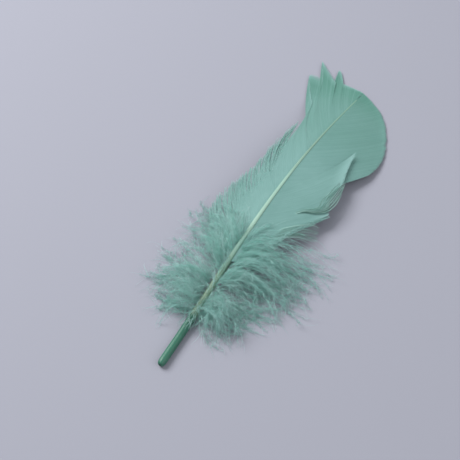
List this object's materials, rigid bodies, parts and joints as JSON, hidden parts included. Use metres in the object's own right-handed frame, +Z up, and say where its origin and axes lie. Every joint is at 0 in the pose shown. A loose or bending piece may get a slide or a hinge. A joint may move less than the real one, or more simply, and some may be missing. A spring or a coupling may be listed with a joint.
{
  "type": "goose quill feather",
  "caption": "Loose goose feather with a bare quill, a bowed shaft, a narrow and a wide vane split into webs, and fluffy down at the base, lying on its inner side.",
  "frame": {"origin": "on the surface the feather lies on, under the middle of its bounding box", "axes": "+Y along the shaft from the butt of the quill to the tip, +X towards the wide vane, +Z up out of the feather's outer side"},
  "size_m": [0.0662, 0.1634, 0.0117],
  "materials": {
    "quill": "smooth satin keratin, pale yellow-green along the shaft and teal green on the bare barrel",
    "down": "fine pale mint fluff, matt, darker green in its depth",
    "vane": "dyed keratin barbs, matt with a soft silky sheen along the barbs, greener at the tip"
  },
  "bodies": {
    "root": {"feather": "vane"}
  },
  "joints": []
}
